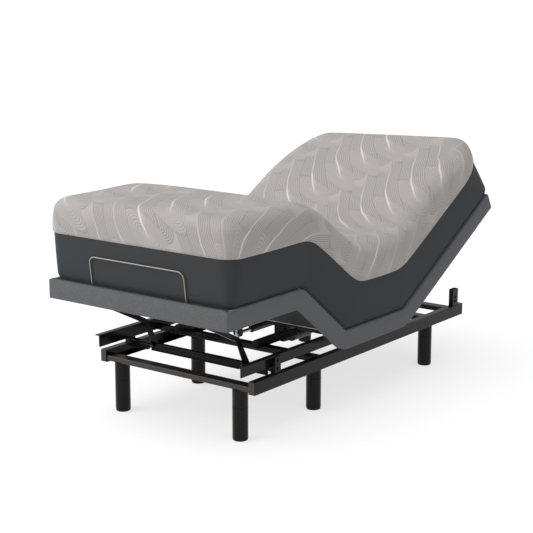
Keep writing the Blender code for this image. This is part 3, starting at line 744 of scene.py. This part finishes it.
def sweep(name, rings, look):
    """A closed bar through rings of equal length."""
    count = len(rings[0])
    points = [p for ring in rings for p in ring]
    faces = []
    for i in range(len(rings) - 1):
        for j in range(count):
            k = (j + 1) % count
            faces.append([i * count + j, i * count + k, (i + 1) * count + k, (i + 1) * count + j])
    faces.append(list(range(count))[::-1])
    faces.append([(len(rings) - 1) * count + j for j in range(count)])
    made = mesh_object(name, points, faces, [look], sharp=60)
    face_outwards(made)
    return made


def face_outwards(made):
    """Turns every face's normal outwards."""
    solid = bmesh.new()
    solid.from_mesh(made.data)
    bmesh.ops.recalc_face_normals(solid, faces=solid.faces)
    solid.to_mesh(made.data)
    solid.free()


def border_side(name, side, s_low, s_high):
    """A straight-sided length of border that bends with the deck."""
    x, level = np.array(border_ring(side, DECK_HALF)).T
    rings = []
    for s in steps(s_low, s_high, BEND_STEP):
        y, z = border_shape(np.full(len(x), s), level)
        rings.append(list(zip(x, y, z)))
    return sweep(name, rings, BORDER_CLOTH)


def border_end(name, s_end, s_stop, outwards):
    """The U-shaped length round an end of the bed, with rounded corners in plan."""
    inset, level = np.array(border_ring(1, DECK_HALF)).T
    inset = inset - DECK_HALF
    centre_x, centre_s = DECK_HALF - PLAN_RADIUS, s_end - outwards * PLAN_RADIUS

    # half of the U: direction outwards across and along, then the place on the outer face
    half = [(1, 0, DECK_HALF, s) for s in steps(*sorted((s_stop, centre_s)), END_STEP)]
    if outwards < 0:
        half.reverse()
    for angle in range(10, 90, 10):
        across, along = cos(radians(angle)), outwards * sin(radians(angle))
        half.append((across, along, centre_x + PLAN_RADIUS * across,
                     centre_s + PLAN_RADIUS * along))
    end = [(0, outwards, x, s_end) for x in np.linspace(centre_x, -centre_x, 40)]
    other_half = [(-across, along, -x, s) for across, along, x, s in reversed(half)]

    rings = []
    for across, along, x, s in half + end + other_half:
        y, z = border_shape(s + along * inset, level)
        rings.append(list(zip(x + across * inset, y, z)))
    return sweep(name, rings, BORDER_CLOTH)


foot_wrap = border_end("border_foot_wrap", 0.0, MID_LEG_S, -1)
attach(foot_wrap, "leg_deck")
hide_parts("foot_border", "leg_border_left", "leg_border_right")
head_wrap = border_end("border_head_wrap", END_S, MID_HEAD_S, 1)
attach(head_wrap, "head_deck")
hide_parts("head_end_border", "head_border_left", "head_border_right")
for name, side in SIDES:
    knee = border_side("border_knee_" + name, side, MID_LEG_S, MID_THIGH_S)
    bend_knee(knee)
    thigh = border_side("border_thigh_" + name, side, MID_THIGH_S, MID_SEAT_S)
    bend_thigh(thigh)
    seat = border_side("border_seat_" + name, side, MID_SEAT_S, MID_HEAD_S)
    bend_head(seat)
    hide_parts("thigh_border_" + name)
    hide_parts("seat_border_" + name)


# ---- small hardware ----
SMALL_BOLT = {"size": 0.0055, "depth": 0.0042}
WASHER = 0.0012
CAP_THICK, CAP_GAP = 0.0028, 0.0002        # plate that closes a lower rail's front end
CAP_IN_X, CAP_IN_Z = 0.0006, 0.0010
RAIL_BOLT_IN = 0.028                       # from either end of a lower rail
STRUT_ROOM = 0.006                         # beside a strut that swings past
BAND_HALF = 0.366
BAND_Y, BAND_Z = (-0.026, -0.0135), (0.2490, 0.2660)    # Y from the strut tube's front


def bolt(name, owner, place, axis, size=0.0075, depth=0.005, look=ZINC):
    """A hexagon head on a washer, standing out from place along axis."""
    turn = Vector(axis).to_track_quat("Z", "Y").to_matrix().to_4x4()
    points, faces = [], []
    for radius, low, high, sides in ((size * 1.35, 0, WASHER, 20), (size, WASHER, depth, 6)):
        first = len(points)
        points += [(radius * cos(2 * pi * k / sides), radius * sin(2 * pi * k / sides), z)
                   for z in (low, high) for k in range(sides)]
        faces += [[first + k, first + (k + 1) % sides, first + sides + (k + 1) % sides,
                   first + sides + k] for k in range(sides)]
        faces += [[first + k for k in range(sides)][::-1],
                  [first + sides + k for k in range(sides)]]
    made = mesh_object(name, [Matrix.Translation(place) @ turn @ Vector(p) for p in points],
                       faces, [look], sharp=30)
    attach(made, owner)


def plate(name, owner, low, high, look, bevel=0.0012):
    """A box between two corners, with its edges eased."""
    bpy.ops.mesh.primitive_cube_add(size=1)
    made = bpy.context.object
    made.name = name
    made.data.transform(Matrix.Translation([(a + b) / 2 for a, b in zip(low, high)])
                        @ Matrix.Diagonal([b - a for a, b in zip(low, high)] + [1]))
    eased = made.modifiers.new("eased", "BEVEL")
    eased.width, eased.segments = bevel, 2
    made.data.materials.append(look)
    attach(made, owner)


def rail_fittings(side_name):
    """End cap and two bolts under a lower rail."""
    low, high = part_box("lower_rail_" + side_name)
    plate("rail_end_" + side_name, "base_frame",
          (low[0] + CAP_IN_X, low[1] - CAP_GAP - CAP_THICK, low[2] + CAP_IN_Z),
          (high[0] - CAP_IN_X, low[1] - CAP_GAP, high[2] - CAP_IN_Z), BRONZE)
    for at, y in (("front", low[1] + RAIL_BOLT_IN), ("rear", high[1] - RAIL_BOLT_IN)):
        bolt("rail_bolt_%s_%s" % (at, side_name), "base_frame",
             ((low[0] + high[0]) / 2, y, low[2]), (0, 0, -1))


def outer_bolts(node, side, heights):
    """Small black bolts up the outer face of a node; heights are (label, height above it)."""
    low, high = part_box(node)
    face = high[0] if side > 0 else low[0]
    for label, height in heights:
        bolt("%s_bolt_%d" % (node, label), "base_frame",
             (face, (low[1] + high[1]) / 2, low[2] + height), (side, 0, 0), look=BLACK,
             **SMALL_BOLT)


def cross_band():
    """A flat band in front of the strut tube, parted where the struts swing through it."""
    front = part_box("strut_cross_tube")[0][1]
    strut_low, strut_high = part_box("leg_strut_right")
    inner_x, outer_x = strut_low[0] - STRUT_ROOM, strut_high[0] + STRUT_ROOM
    for name, low_x, high_x in (("left", -BAND_HALF, -outer_x), ("middle", -inner_x, inner_x),
                                ("right", outer_x, BAND_HALF)):
        plate("cross_band_" + name, "base_frame", (low_x, front + BAND_Y[0], BAND_Z[0]),
              (high_x, front + BAND_Y[1], BAND_Z[1]), BLACK)


for side_name, side in SIDES:
    rail_fittings(side_name)
    for part in ("front_riser_", "rear_riser_"):
        low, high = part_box(part + side_name)
        outer_bolts(part + side_name, side,
                    [(percent, (high[2] - low[2]) * percent / 100) for percent in (25, 75)])
    outer_bolts("head_post_" + side_name, side, [(mm, mm / 1000) for mm in (20, 40)])
cross_band()


# ---- stage, light and camera ----
def floor():
    """A plain pale floor; it glows a little, so that it stays near white."""
    bpy.ops.mesh.primitive_plane_add(size=600, location=(0, 0, -0.0005))
    plane = bpy.context.object
    plane.name = "floor"
    n = Nodes("floor")
    tone = n.noise(0.6, 2)
    plane.data.materials.append(n.finish(
        Base_Color=n.mix(tone, (0.29, 0.29, 0.29, 1), (0.31, 0.31, 0.31, 1)), Roughness=0.8,
        Specular_IOR_Level=0.1, Emission_Color=(1, 1, 1, 1), Emission_Strength=0.69))
    plane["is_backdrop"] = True


def area_light(name, place, target, size, power):
    """A soft rectangular lamp that looks from its place to the target."""
    data = bpy.data.lights.new(name, "AREA")
    data.shape = "RECTANGLE"
    data.size, data.size_y = size
    data.energy = power
    lamp = bpy.data.objects.new(name, data)
    lamp.location = place
    lamp.rotation_euler = (Vector(target) - Vector(place)).to_track_quat("-Z", "Y").to_euler()
    bpy.context.scene.collection.objects.link(lamp)


def dome():
    """A plain sky, brighter to the left of the camera."""
    world = bpy.data.worlds.new("studio")
    bpy.context.scene.world = world
    world.use_nodes = True
    nodes, links = world.node_tree.nodes, world.node_tree.links
    place = nodes.new("ShaderNodeTexCoord")
    leftwards = nodes.new("ShaderNodeVectorMath")
    leftwards.operation = "DOT_PRODUCT"
    leftwards.inputs[1].default_value = (-0.75, -0.60, 0.25)
    shade = nodes.new("ShaderNodeMapRange")
    for key, value in (("From Min", -1.0), ("From Max", 1.0), ("To Min", 0.26),
                       ("To Max", 0.80)):
        shade.inputs[key].default_value = value
    links.new(place.outputs["Generated"], leftwards.inputs[0])
    links.new(leftwards.outputs["Value"], shade.inputs["Value"])
    links.new(shade.outputs[0], nodes["Background"].inputs["Color"])


def overhead():
    """A wide soft light from almost straight above."""
    sun = bpy.data.lights.new("overhead", "SUN")
    sun.energy = 1.9
    sun.angle = radians(70)
    lamp = bpy.data.objects.new("overhead", sun)
    lamp.rotation_euler = (radians(12), radians(-8), 0)
    bpy.context.scene.collection.objects.link(lamp)


floor()
dome()
overhead()
area_light("key", (-2.6, -5.4, 3.0), (0, 0, 0.5), (2.6, 2.6), 70)
area_light("side", (-4.4, -3.9, 1.7), (0, -0.3, 0.4), (2.2, 2.4), 90)
area_light("fill", (4.6, -0.6, 2.6), (0, -0.2, 0.5), (2.6, 2.2), 26)

VIEW_YAW, VIEW_PITCH = radians(37.03), radians(12.45)
camera_data = bpy.data.cameras.new("camera")
camera_data.sensor_width = 36.0
camera_data.lens = 97.72
camera = bpy.data.objects.new("camera", camera_data)
camera.location = (3.6304, -4.9642, 1.8806)
camera.rotation_euler = (pi / 2 - VIEW_PITCH, 0, VIEW_YAW)
bpy.context.scene.collection.objects.link(camera)
bpy.context.scene.camera = camera
bpy.context.scene.view_settings.view_transform = "Standard"

low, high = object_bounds()
